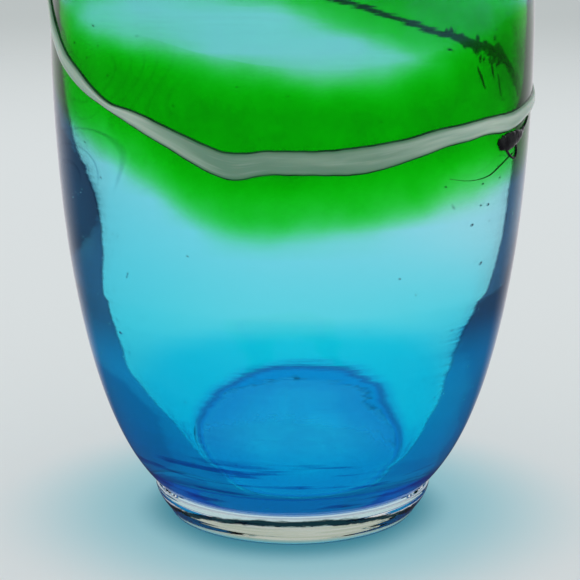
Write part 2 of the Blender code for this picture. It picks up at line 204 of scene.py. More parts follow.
def outer_profile(bottom_z, lower_steps, upper_steps, arc_steps):
    """The casing's outside from the foot to the lip's edge, as (radius, height)."""
    points = []
    start = asin((WIDEST_Z - bottom_z) / WIDEST_Z)
    for i in range(lower_steps + 1):
        z = WIDEST_Z - WIDEST_Z * sin(start * (1 - i / lower_steps))
        points.append((body_radius(z), z))
    end = asin((NECK_Z - WIDEST_Z) / SHOULDER_SPAN)
    for i in range(1, upper_steps + 1):
        z = WIDEST_Z + SHOULDER_SPAN * sin(end * i / upper_steps)
        points.append((body_radius(z), z))
    step = 1e-4
    lean = atan2(body_radius(NECK_Z) - body_radius(NECK_Z - step), step)
    r, z = points[-1]
    centre = (r + LIP_ARC_RADIUS * cos(lean), z - LIP_ARC_RADIUS * sin(lean))
    for i in range(1, arc_steps + 1):
        turn = lean + (LIP_FLARE - lean) * i / arc_steps
        points.append((centre[0] - LIP_ARC_RADIUS * cos(turn), centre[1] + LIP_ARC_RADIUS * sin(turn)))
    return points


def inset(profile, thickness):
    """The profile moved inwards by thickness(height)."""
    moved = []
    last = len(profile) - 1
    for i, (r, z) in enumerate(profile):
        a = Vector(profile[max(i - 1, 0)])
        b = Vector(profile[min(i + 1, last)])
        along = (b - a).normalized()
        moved.append((r - along.y * thickness(z), z + along.x * thickness(z)))
    return moved


def casing_thickness(z):
    low = max(0.0, 1 - z / WIDEST_Z)
    return CASING_TOP + (CASING_HEEL - CASING_TOP) * low * low * (3 - 2 * low)


def cavity_bump(z):
    return exp(-((z - CAVITY_SHIFT_Z) / CAVITY_SHIFT_REACH) ** 2)


def cavity_upper_radius(z):
    u = (WIDEST_Z - z) / (WIDEST_Z - CAVITY_BASE_Z)
    return (MAX_RADIUS - WALL_TOP) * (1 - u * u) ** CAVITY_SQUARENESS - CAVITY_SHRINK * cavity_bump(z)


def cavity_profile(upper):
    """The hollow's floor, heel and side up to the lip, as (radius, height)."""
    floor_steps = 60
    points = [(CAVITY_FLOOR_RADIUS * k / floor_steps, CAVITY_FLOOR_Z) for k in range(floor_steps + 1)]
    points += [(r / 1000, z / 1000) for r, z in smooth_route(CAVITY_HEEL, 72)]
    last_r, last_z = points[-1]
    widening = last_r - cavity_upper_radius(last_z)
    steps = 70
    for i in range(1, steps + 1):
        z = last_z + (WIDEST_Z - last_z) * i / steps
        points.append((cavity_upper_radius(z) + widening * (1 - i / steps), z))
    above = inset(upper, lambda z: WALL_TOP)
    return points + [p for p in above if p[1] > WIDEST_Z + 0.001]


def at_height(profile, z):
    for (r0, z0), (r1, z1) in zip(profile, profile[1:]):
        if z0 <= z <= z1:
            return (r0 + (r1 - r0) * (z - z0) / (z1 - z0), z)
    raise ValueError("height outside the profile")


# ---------------------------------------------------------------- meshes
def make_piece(name, verts, faces, replaced):
    mesh = bpy.data.meshes.new(name)
    mesh.from_pydata([tuple(v) for v in verts], [], faces)
    mesh.validate()
    mesh.shade_smooth()
    ob = bpy.data.objects.new(name, mesh)
    bpy.context.scene.collection.objects.link(ob)
    if replaced:
        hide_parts(*replaced)
    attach(ob, "root")
    return ob


def set_attribute(ob, name, values, domain="POINT"):
    layer = ob.data.attributes.new(name, "FLOAT", domain)
    layer.data.foreach_set("value", np.asarray(values, np.float32))


def revolve(outline, closed, wobble):
    """Vertices, faces and each face's strip number, from an outline of (radius, height).  The outline runs
    with the solid on its left, so faces look outwards.  wobble(point, i) returns the moved point."""
    verts = []
    rows = []
    for i, (r, z) in enumerate(outline):
        if r < 1e-7:
            rows.append([len(verts)])
            verts.append(wobble(Vector((0, 0, z)), i))
            continue
        row = []
        for s in range(AROUND):
            turn = 2 * pi * s / AROUND
            row.append(len(verts))
            verts.append(wobble(Vector((r * sin(turn), -r * cos(turn), z)), i))
        rows.append(row)
    faces = []
    strips = []
    pairs = list(zip(rows, rows[1:]))
    if closed:
        pairs.append((rows[-1], rows[0]))
    for k, (a, b) in enumerate(pairs):
        for s in range(AROUND):
            t = (s + 1) % AROUND
            if len(a) == 1:
                faces.append((a[0], b[t], b[s]))
            elif len(b) == 1:
                faces.append((a[s], a[t], b[0]))
            else:
                faces.append((a[s], a[t], b[t], b[s]))
            strips.append(k)
    return verts, faces, strips


def outer_wave(p):
    """Slow unevenness that tools and gravity leave in the outer skin."""
    return 0.00010 * noise.noise(p * 28) + 0.00003 * noise.noise(Vector((p.x * 60, p.y * 60, p.z * 190)))


def inner_wave(p):
    """Stronger waves of the hollow's skin, drawn out along the turning direction."""
    turn = atan2(p.x, -p.y)
    q = Vector((sin(turn) * 3.0, cos(turn) * 3.0, p.z * 62))
    fine = Vector((sin(turn) * 7.0, cos(turn) * 7.0, p.z * 210))
    return 0.00026 * noise.noise(p * 20) + 0.00005 * noise.noise(q) + 0.000012 * noise.noise(fine)


def radial_push(p, amount):
    flat = Vector((p.x, p.y, 0))
    if flat.length < 1e-6:
        return p
    return p + flat.normalized() * amount


def green_at(p):
    """How much green overlay lies at a point of the wall: 1 in the band's middle, feathered edges."""
    angle = (180 / pi) * atan2(p.x, -p.y)
    low, high = smooth_loop(BAND_EDGES, angle)
    right = smoothstep(28, 55, angle) * (1 - smoothstep(100, 140, angle))
    low -= 4.0 * right
    z = p.z * 1000
    ragged = 2.0 * noise.noise(p * 40) + 0.9 * noise.noise(p * 110)
    rise = smoothstep(low - 2.0 - 1.5 * right, low + 12.0 + 7.0 * right, z + ragged)
    body = 0.42 + 0.58 * smoothstep(low + 9.0, low + 23.0, z)
    return rise * body * (1 - smoothstep(high - 11.0, high + 7.0, z - ragged))


def floor_share(z):
    """1 at the hollow's floor, 0 from FLOOR_REACH_Z up."""
    return 1 - smoothstep(CAVITY_FLOOR_Z, FLOOR_REACH_Z, z)


UPPER = outer_profile(FOOT_HEIGHT + GAP, BODY_STEPS, SHOULDER_STEPS, LIP_STEPS)
EDGE_Z = UPPER[-1][1] - LIP_ROLL


def make_casing():
    """The clear outer layer: its skin, the rounded rim with a strip of wall under it, a fused inside."""
    outer = UPPER
    inner = inset(outer, casing_thickness)
    inner[0] = (inner[0][0], outer[0][1])
    wall = inset(outer, lambda z: WALL_TOP)
    rim = Vector(outer[-1])
    rim_inner = Vector(wall[-1])
    middle = (rim + rim_inner) / 2
    half = (rim - rim_inner) / 2
    up = Vector((-half.y, half.x))
    crown = []
    for k in range(1, 12):
        a = radians(15 * k)
        crown.append(tuple(middle + half * cos(a) + up * sin(a)))
    roll = [p for p in reversed(wall) if p[1] > EDGE_Z]
    below = [p for p in reversed(inner) if p[1] < EDGE_Z - 0.0005][::3]
    outline = outer + crown + roll + [at_height(wall, EDGE_Z), at_height(inner, EDGE_Z)] + below
    fused_from = len(outer) + len(crown) + len(roll)

    def wobble(p, i):
        return radial_push(p, outer_wave(p)) if i < fused_from else p

    verts, faces, strips = revolve(outline, True, wobble)
    ob = make_piece("casing", verts, faces, ["clear_outer_casing"])
    set_attribute(ob, "skin", [1.0 if k < fused_from else 0.0 for k in strips], "FACE")
    set_attribute(ob, "green", [green_at(v) for v in verts])
    return ob


def make_gather():
    """The aqua layer: a fused outside, the skin of the hollow, and the bubbles."""
    skin = inset(UPPER, lambda z: casing_thickness(z) + GAP)
    skin[0] = (skin[0][0], FOOT_HEIGHT + GAP)
    hollow = cavity_profile(UPPER)
    top = EDGE_Z - GAP
    outside = [p for p in skin if p[1] < top - 0.0005][::3] + [at_height(skin, top)]
    inside = [p for p in hollow if p[1] < top - 0.0005] + [at_height(hollow, top)]
    underside = [(0.0, FOOT_HEIGHT + GAP), (outside[0][0] * 0.5, FOOT_HEIGHT + GAP)]
    outline = underside + outside + inside[::-1]
    first_inside = len(underside) + len(outside)

    def wobble(p, i):
        if i < first_inside:
            return p
        share = floor_share(p.z)
        r = sqrt(p.x ** 2 + p.y ** 2)
        moved = radial_push(p, inner_wave(p) * (1 - 0.5 * share))
        moved.x *= 1 - FLOOR_NARROWING * share
        moved.y *= 1 + FLOOR_LENGTHENING * share
        moved.x += CAVITY_SHIFT * cavity_bump(p.z) + FLOOR_SHIFT * share
        moved.y += HEEL_SHIFT_BACK * (1 - smoothstep(HEEL_SHIFT_LOW_Z, HEEL_SHIFT_HIGH_Z, p.z))
        q = p - Vector((0.006, 0.004, 0))
        swell = 0.000045 * sin(q.length * 2100 + 2.6 * noise.noise(p * 70)) * smoothstep(0.004, 0.012, r)
        swell *= 1 - smoothstep(0.0325, 0.0355, r)
        rest = 0.00030 * noise.noise(p * 42)
        moved.z += FLOOR_TILT * share * p.y + share * rest + swell * smoothstep(0.8, 1.0, share)
        return moved

    verts, faces, strips = revolve(outline, False, wobble)
    skins = [1.0 if k >= first_inside else 0.0 for k in strips]
    add_seeds(verts, faces, skins)
    ob = make_piece("gather", verts, faces, ["aqua_inner_gather"])
    set_attribute(ob, "skin", skins, "FACE")
    return ob


def wall_middle(angle, z, share):
    """A point inside the aqua glass: share 0 is its outer side, 1 the side of the hollow."""
    turn = radians(angle)
    outside = body_radius(z) - casing_thickness(z) - 3 * GAP - BAND_THICKNESS
    if z > CAVITY_HEEL[-1][1] / 1000:
        inside = cavity_upper_radius(z) + SEED_CLEARANCE
    else:
        heel = [(CAVITY_FLOOR_RADIUS * 1000, CAVITY_FLOOR_Z * 1000)] + list(CAVITY_HEEL)
        heel = [(r / 1000, h / 1000) for r, h in heel]
        inside = at_height(heel, max(z, CAVITY_FLOOR_Z))[0] + SEED_CLEARANCE
    inside += CAVITY_SHIFT * cavity_bump(z) * sin(turn) + FLOOR_SHIFT * floor_share(z) * sin(turn)
    r = outside + (inside - outside) * share
    return Vector((r * sin(turn), -r * cos(turn), z))


def add_seed(verts, faces, skins, centre, along, radius, length):
    """A closed bubble in the glass: an ellipsoid with its faces towards its own inside."""
    side = along.orthogonal().normalized()
    other = along.cross(side)
    first = len(verts)
    around = SEED_AROUND
    rings = SEED_RINGS
    verts.append(centre - along * length)
    for k in range(1, rings):
        a = pi * k / rings
        for s in range(around):
            b = 2 * pi * s / around
            spoke = side * cos(b) + other * sin(b)
            verts.append(centre - along * length * cos(a) + spoke * radius * sin(a))
    verts.append(centre + along * length)
    last = len(verts) - 1
    before = len(faces)
    for s in range(around):
        t = (s + 1) % around
        faces.append((first, first + 1 + s, first + 1 + t))
        faces.append((last, last - around + t, last - around + s))
        for k in range(rings - 2):
            a = first + 1 + k * around
            b = a + around
            faces.append((a + s, b + s, b + t, a + t))
    skins.extend([1.0] * (len(faces) - before))


def add_seeds(verts, faces, skins):
    """Bubbles caught in the gather, drawn out round the body: more at its sides than elsewhere."""
    rng = random.Random(11)
    for _ in range(SEEDS):
        z = rng.uniform(*SEED_HEIGHTS)
        angle = rng.choice((rng.uniform(0, 360), rng.gauss(-62, 16), rng.gauss(64, 14)))
        centre = wall_middle(angle, z, rng.uniform(0.30, 0.70))
        radius = rng.choice(SEED_SIZES)
        radius = min(radius, THIN_WALL_SEED) if z > THICK_WALL_TOP else radius
        tangent = Vector((cos(radians(angle)), sin(radians(angle)), rng.uniform(-0.5, 0.5))).normalized()
        add_seed(verts, faces, skins, centre, tangent, radius, radius * rng.uniform(1.0, 2.6))
    for _ in range(FLOOR_SEEDS):
        turn = rng.uniform(0, 2 * pi)
        r = 0.034 * sqrt(rng.uniform(0.02, 1.0))
        centre = Vector((r * cos(turn), r * sin(turn), rng.uniform(0.0125, 0.0185)))
        tangent = Vector((-sin(turn), cos(turn), 0))
        radius = rng.choice(FLOOR_SEED_SIZES)
        add_seed(verts, faces, skins, centre, tangent, radius, radius * rng.uniform(1.0, 3.0))


def make_foot():
    """The disc: a hollow pontil mark, a ground ring, a rounded corner, and a side that flares upwards."""
    underside = [(0.0, PONTIL_DEPTH)]
    for k in range(1, 13):
        a = pi / 2 * k / 12
        underside.append((PONTIL_RADIUS * sin(a), PONTIL_DEPTH * cos(a)))
    flat = [(PONTIL_RADIUS + (CONTACT_RADIUS - FOOT_EDGE_ROUND - PONTIL_RADIUS) * k / 12, 0.0)
            for k in range(1, 12)]
    corner = []
    for k in range(8):
        a = radians(-90 + 90 * k / 7)
        x = CONTACT_RADIUS - FOOT_EDGE_ROUND + FOOT_EDGE_ROUND * cos(a) * FOOT_CORNER_REACH
        corner.append((x, FOOT_EDGE_ROUND + FOOT_EDGE_ROUND * sin(a)))
    side = []
    for k in range(1, 25):
        t = k / 24
        r = corner[-1][0] + (FOOT_TOP_RADIUS - corner[-1][0]) * sin(pi / 2 * t)
        side.append((r, FOOT_EDGE_ROUND + (FOOT_HEIGHT - FOOT_EDGE_ROUND) * t))
    top = [(FOOT_TOP_RADIUS - 0.0005, FOOT_HEIGHT), (FOOT_TOP_RADIUS * 0.5, FOOT_HEIGHT), (0.0, FOOT_HEIGHT)]
    side[-1] = (FOOT_TOP_RADIUS, FOOT_HEIGHT - FOOT_TOP_CHAMFER)
    outline = underside + flat + corner + side + top
    ground_to = len(underside) + len(flat)
    top_from = len(outline) - len(top)

    def wobble(p, i):
        if i < ground_to or i >= top_from:
            return p
        turn = atan2(p.x, -p.y)
        wave = 0.00025 * noise.noise(Vector((sin(turn) * 1.5, cos(turn) * 1.5, 3.0)))
        rings = 0.00006 * noise.noise(Vector((sin(turn), cos(turn), p.z * 1400)))
        return radial_push(p, wave + rings)

    verts, faces, strips = revolve(outline, False, wobble)
    ob = make_piece("foot", verts, faces, ["clear_foot_disc"])
    set_attribute(ob, "skin", [1.0 if k < top_from else 0.0 for k in strips], "FACE")
    set_attribute(ob, "ground", [1.0 if k < ground_to else 0.0 for k in strips], "FACE")
    return ob


def make_band():
    """The overlay's layer, a little taller than the colour so that its feathered edges fit in."""
    rows = 40
    seat = inset(UPPER, casing_thickness)
    verts = []
    for s in range(AROUND):
        turn = 2 * pi * s / AROUND
        low, high = smooth_loop(BAND_EDGES, 360 * s / AROUND)
        low = low / 1000 - BAND_MARGIN_BELOW
        high = high / 1000 + BAND_MARGIN_ABOVE
        heights = [low + (high - low) * k / rows for k in range(rows + 1)]
        for depth, order in ((GAP, heights), (GAP + BAND_THICKNESS, heights[::-1])):
            for z in order:
                r = at_height(seat, z)[0] - depth
                verts.append(Vector((r * sin(turn), -r * cos(turn), z)))
    ring = 2 * (rows + 1)
    faces = []
    for s in range(AROUND):
        a = s * ring
        b = ((s + 1) % AROUND) * ring
        for k in range(ring):
            m = (k + 1) % ring
            faces.append((a + k, b + k, b + m, a + m))
    ob = make_piece("green_band", verts, faces, ["green_colour_band"])
    set_attribute(ob, "green", [green_at(v) for v in verts])
    return ob


def surface_frame(angle, z):
    """The point of the outer skin at an angle in degrees and a height in metres, and its normal."""
    turn = radians(angle)
    step = 1e-4
    slope = (body_radius(z + step) - body_radius(z - step)) / (2 * step)
    outwards = Vector((sin(turn), -cos(turn), 0))
    normal = (outwards - Vector((0, 0, slope))).normalized()
    return outwards * body_radius(z) + Vector((0, 0, z)), normal


def swept(stations, section, closed):
    """Vertices, faces, and the place across (-1 to 1) of each vertex.  Stations are (angle, height in mm,
    width in m, lift factor), and section is a list of (across, lift)."""
    verts = []
    across = []
    count = len(stations)
    n = len(section)
    for i, (angle, z, width, tall) in enumerate(stations):
        here, normal = surface_frame(angle, z / 1000)
        after = stations[(i + 1) % count] if closed else stations[min(i + 1, count - 1)]
        before = stations[i - 1] if closed else stations[max(i - 1, 0)]
        along = surface_frame(after[0], after[1] / 1000)[0] - surface_frame(before[0], before[1] / 1000)[0]
        side = normal.cross(along).normalized()
        for s, lift in section:
            rise = lift if lift < 0 else lift * tall
            verts.append(here + side * width * s + normal * rise)
            across.append(2 * s)
    faces = []
    for i in range(count if closed else count - 1):
        a = i * n
        b = ((i + 1) % count) * n
        for k in range(n):
            m = (k + 1) % n
            faces.append((a + k, a + m, b + m, b + k))
    if not closed:
        faces.append(tuple(range(n - 1, -1, -1)))
        faces.append(tuple(range((count - 1) * n, count * n)))
    return verts, faces, across


def bead_section(low, high, points):
    """A low rounded bead: flat underneath, domed on top."""
    section = [(-0.5, low), (0.5, low)]
    for k in range(points + 1):
        a = pi * k / points
        section.append((0.5 * cos(a), high * (0.25 + 0.75 * sin(a) ** 0.8)))
    return section


def join(verts, faces, more_verts, more_faces):
    """Adds a second mesh's vertices and faces to the first's."""
    first = len(verts)
    verts += more_verts
    faces += [tuple(first + k for k in face) for face in more_faces]


def bead_piece(name, stations, low, high, replaced):
    """A bead that goes all round the body."""
    verts, faces, across = swept(stations, bead_section(low, high, BEAD_POINTS), True)
    ob = make_piece(name, verts, faces, replaced)
    set_attribute(ob, "across", across)
    return ob


def trail_stations(extra):
    """The loop of the trail, starting at the back, with the width's unevenness of a hand-laid thread."""
    stations = []
    for s in range(TRAIL_STEPS):
        angle = 360 * s / TRAIL_STEPS - 180
        z, width = smooth_loop(TRAIL_ROUTE, angle)
        turn = radians(angle)
        spot = Vector((sin(turn) * 6, cos(turn) * 6, 1.0))
        width *= 1 + 0.10 * noise.noise(spot) + 0.05 * noise.noise(spot * 3.3)
        z += 0.35 * noise.noise(spot * 0.9 + Vector((0, 0, 5)))
        stations.append((angle, z, width / 1000 + extra, 1 + 0.25 * noise.noise(spot * 1.7)))
    return stations


def make_trails():
    """The dark thread and the pale ribbon that lies on it."""
    dark = bead_piece("dark_trail", trail_stations(DARK_TRAIL_MARGIN), -0.0006, DARK_TRAIL_HEIGHT,
                      ["dark_under_trail"])
    white = bead_piece("white_ribbon", trail_stations(0.0), -0.0001, RIBBON_HEIGHT,
                       ["white_ribbon_trail"])
    return dark, white


# ---------------------------------------------------------------- nodes
class Tree:
    """Short hand for the nodes of a material, or of the world."""

    def __init__(self, name, world=False):
        self.owner = bpy.data.worlds.new(name) if world else bpy.data.materials.new(name)
        self.owner.use_nodes = True
        self.nodes = self.owner.node_tree.nodes
        self.links = self.owner.node_tree.links
        self.nodes.clear()
        self.out = self.nodes.new("ShaderNodeOutputWorld" if world else "ShaderNodeOutputMaterial")

    def put(self, socket, value):
        if isinstance(value, bpy.types.NodeSocket):
            self.links.new(value, socket)
        elif isinstance(value, tuple) and len(value) == 3 and socket.type == "RGBA":
            socket.default_value = (*value, 1)
        else:
            socket.default_value = value

    def node(self, kind, inputs=None, **settings):
        made = self.nodes.new(kind)
        for key, value in settings.items():
            setattr(made, key, value)
        for key, value in (inputs or {}).items():
            self.put(made.inputs[key], value)
        return made

    def attribute(self, name):
        return self.node("ShaderNodeAttribute", attribute_name=name).outputs["Fac"]

    def math(self, operation, a, b=0.0):
        return self.node("ShaderNodeMath", {0: a, 1: b}, operation=operation).outputs[0]

    def times(self, first, *others):
        """The product of some values."""
        for other in others:
            first = self.math("MULTIPLY", first, other)
        return first

    def ramp(self, value, low, high, to_low=0.0, to_high=1.0):
        """A smooth step from to_low at low to to_high at high."""
        made = self.node("ShaderNodeMapRange", {0: value, 1: low, 2: high, 3: to_low, 4: to_high},
                         interpolation_type="SMOOTHSTEP")
        return made.outputs[0]

    def length(self, x, y):
        return self.math("SQRT", self.math("ADD", self.times(x, x), self.times(y, y)))

    def ior(self):
        """1.5 on a real surface of the glass, 1.0 where two layers are fused."""
        return self.math("ADD", 1.0, self.math("MULTIPLY", self.attribute("skin"), SKIN_IOR_RISE))

    def green(self):
        """The overlay's density, slightly cloudy."""
        return self.times(self.attribute("green"), self.ramp(self.noise(90, 4), 0.25, 0.8, 0.82, 1.15))

    def place(self):
        return self.node("ShaderNodeTexCoord").outputs["Object"]

    def split(self, vector):
        return self.node("ShaderNodeSeparateXYZ", {0: vector}).outputs

    def stretched(self, scale):
        return self.node("ShaderNodeMapping", {"Vector": self.place(), "Scale": scale}).outputs[0]

    def noise(self, scale, detail=3.0, vector=None, roughness=0.5):
        made = self.node("ShaderNodeTexNoise", {"Scale": scale, "Detail": detail, "Roughness": roughness,
                                                "Vector": vector or self.place()})
        return made.outputs["Fac"]

    def mix(self, factor, a, b):
        made = self.node("ShaderNodeMix", data_type="RGBA")
        self.put(made.inputs[0], factor)
        self.put(made.inputs[6], a)
        self.put(made.inputs[7], b)
        return made.outputs[2]

    def multiply(self, a, b):
        made = self.node("ShaderNodeMix", data_type="RGBA", blend_type="MULTIPLY")
        self.put(made.inputs[0], 1.0)
        self.put(made.inputs[6], a)
        self.put(made.inputs[7], b)
        return made.outputs[2]

    def power_colour(self, colour, exponent):
        """colour raised to exponent, channel by channel: what is left after that much glass."""
        parts = [self.math("POWER", c, exponent) for c in colour]
        return self.node("ShaderNodeCombineColor", dict(enumerate(parts))).outputs[0]

    def principled(self, **values):
        named = {key.replace("_", " "): value for key, value in values.items()}
        return self.node("ShaderNodeBsdfPrincipled", named).outputs[0]

    def glass(self, tint, ior, bump=None):
        """Clear, smooth glass."""
        values = {"Base_Color": tint, "Roughness": 0.0, "IOR": ior, "Transmission_Weight": 1.0}
        if bump is not None:
            values["Normal"] = bump
        return self.principled(**values)

    def bump(self, height, strength, distance):
        values = {"Height": height, "Strength": strength, "Distance": distance}
        return self.node("ShaderNodeBump", values).outputs[0]

    def facing(self):
        """0 seen square on, 1 edge on."""
        return self.node("ShaderNodeLayerWeight", {"Blend": 0.5}).outputs["Facing"]

    def backfacing(self):
        return self.node("ShaderNodeNewGeometry").outputs["Backfacing"]

    def joined(self, x, y, z):
        return self.node("ShaderNodeCombineXYZ", {0: x, 1: y, 2: z}).outputs[0]

    def blend(self, factor, first, second):
        return self.node("ShaderNodeMixShader", {0: factor, 1: first, 2: second}).outputs[0]

    def finish(self, shader, volume=None):
        self.links.new(shader, self.out.inputs["Surface"])
        if volume is not None:
            self.links.new(volume, self.out.inputs["Volume"])
        return self.owner


# ---------------------------------------------------------------- materials
# Light: what the glass sees of the studio, and what it mirrors of the dim front side.
BRIGHT = (0.84, 0.82, 0.86)
DIM_SIDE = (0.045, 0.045, 0.05)
# Tints: what one wall of full green leaves of white light, and what the casing leaves at four heights.
GREEN_LEFT = (0.0012, 0.62, 0.0008)
GREEN_IN_CASING = 0.8
GREEN_IN_BAND = 0.6
AQUA_MIDDLE = (0.99, 0.980, 0.990)
AQUA_TOP = (0.53, 0.885, 0.875)
AQUA_LOW = (0.46, 0.95, 0.98)
AQUA_HEEL = (0.004, 0.86, 0.96)
CORD_TINT = (0.30, 0.50, 0.58)
SMEAR_TINT = (0.002, 0.16, 0.50)
# The gather: tints of its skin and floor; the dark side of the studio caught inside the wall, as a painted
# dark reflection; and a painted blue glow in the thick glass.
GATHER_TINT = (0.97, 0.995, 1.0)
FLOOR_RIM_TINT = (0.30, 0.30, 0.78)
FLOOR_MIDDLE_TINT = (0.46, 0.66, 0.94)
RING_TINT = (0.30, 0.45, 0.80)
PAINTED_MIRROR_STEEP = (0.05, 0.12, 0.21)
PAINTED_MIRROR_FLAT = (0.34, 0.39, 0.45)
PAINTED_MIRROR_LOW = (0.10, 0.13, 0.23)
PAINTED_GLOW_HIGH = (0.03, 0.050, 0.088)
PAINTED_GLOW_LOW = (0.0, 0.24, 0.50)
PAINTED_GLOW_RING = (0.0, 0.06, 0.25)
PAINTED_GLOW_FLOOR_RIM = (0.0, 0.12, 0.42)
PAINTED_GLOW_FLOOR_MIDDLE = (0.0, 0.34, 0.66)
ABSORPTION = (0.0, 0.870, 0.941)
ABSORPTION_DENSITY = 120.0
# The facing at which light inside the glass begins to be mirrored whole, about 42 degrees.
MIRROR_STARTS = 0.250
MIRROR_FULL = 0.262
# The foot: the straw of its side is painted shade, for the dimmer light seen through it, and the teal where
# the view grazes it and where it meets the table is painted light; a painted reflection under its top edge,
# the dark line there, the ground ring, and a painted highlight along the seam.
STRAW_SHADE_DARK = (0.27, 0.36, 0.22)
STRAW_SHADE_PALE = (0.40, 0.48, 0.34)
PAINTED_GRAZING_TEAL = (0.005, 0.28, 0.36)
PAINTED_CONTACT_TEAL = (0.01, 0.30, 0.38)
FOOT_UPPER_PAINTED_REFLECTION = (0.90, 0.90, 0.80)
FOOT_LINE = (0.0001, 0.002, 0.003)
FOOT_CLEAR = (0.94, 0.96, 0.95)
FROST_DARK = (0.76, 0.80, 0.76)
FROST_PALE = (0.92, 0.95, 0.92)
PAINTED_SEAM_HIGHLIGHT = (0.86, 0.88, 0.85)
FOOT_RAGGEDNESS = 0.0030
FOOT_LINE_SIDE_DROP = 0.0040
# The opaque ribbon, with painted shade on its front and painted light on its sides, and the dark glasses.
RIBBON_SHADED_FRONT = (0.15, 0.29, 0.20)
RIBBON_SHADED_FRONT_PALE = (0.24, 0.38, 0.28)
RIBBON_LIT_SIDE = (0.32, 0.47, 0.37)
RIBBON_LIT_SIDE_PALE = (0.52, 0.64, 0.54)
RIBBON_STREAK = (0.50, 0.56, 0.50)
RIBBON_EDGE = (0.05, 0.20, 0.09)
TRAIL_COLOURS = ((0.004, 0.035, 0.012), (0.015, 0.09, 0.03))
KNOT_COLOURS = ((0.004, 0.004, 0.005), (0.022, 0.024, 0.024))
FRIT_COLOURS = ((0.003, 0.03, 0.008), (0.02, 0.12, 0.02))


def casing_material():
    t = Tree("casing_glass")
    x, y, z = t.split(t.place())
    tint = t.power_colour(GREEN_LEFT, t.times(t.green(), GREEN_IN_CASING))
    aqua = t.mix(t.ramp(z, 0.095, 0.150), AQUA_MIDDLE, AQUA_TOP)
    aqua = t.mix(t.ramp(z, 0.100, 0.045), aqua, AQUA_LOW)
    aqua = t.mix(t.ramp(z, 0.044, 0.029), aqua, AQUA_HEEL)
    # Cords: contour lines of a slow noise, at the left near the ribbon.
    contours = t.math("FRACT", t.times(t.noise(4, 0, t.stretched((3, 3, 7))), 14.0))
    contours = t.math("ABSOLUTE", t.math("SUBTRACT", contours, 0.5))
    where = t.times(t.ramp(x, -0.034, -0.050), t.ramp(z, 0.146, 0.136), t.ramp(z, 0.112, 0.118))
    aqua = t.mix(t.times(t.ramp(contours, 0.055, 0.020), where, 0.55), aqua, CORD_TINT)
    # Smears: long level streaks in the front of the heel.
    smear = t.ramp(t.noise(24, 3, t.stretched((1, 1, 14))), 0.55, 0.63)
    smear = t.times(smear, t.ramp(z, 0.034, 0.028), t.ramp(y, 0.0, -0.015), 0.8)
    aqua = t.mix(smear, aqua, SMEAR_TINT)
    bump = t.bump(t.noise(14, 4, t.stretched((4, 4, 60))), 0.02, 0.0006)
    shader = t.glass(t.multiply(aqua, tint), t.ior(), bump)
    return t.finish(shader)


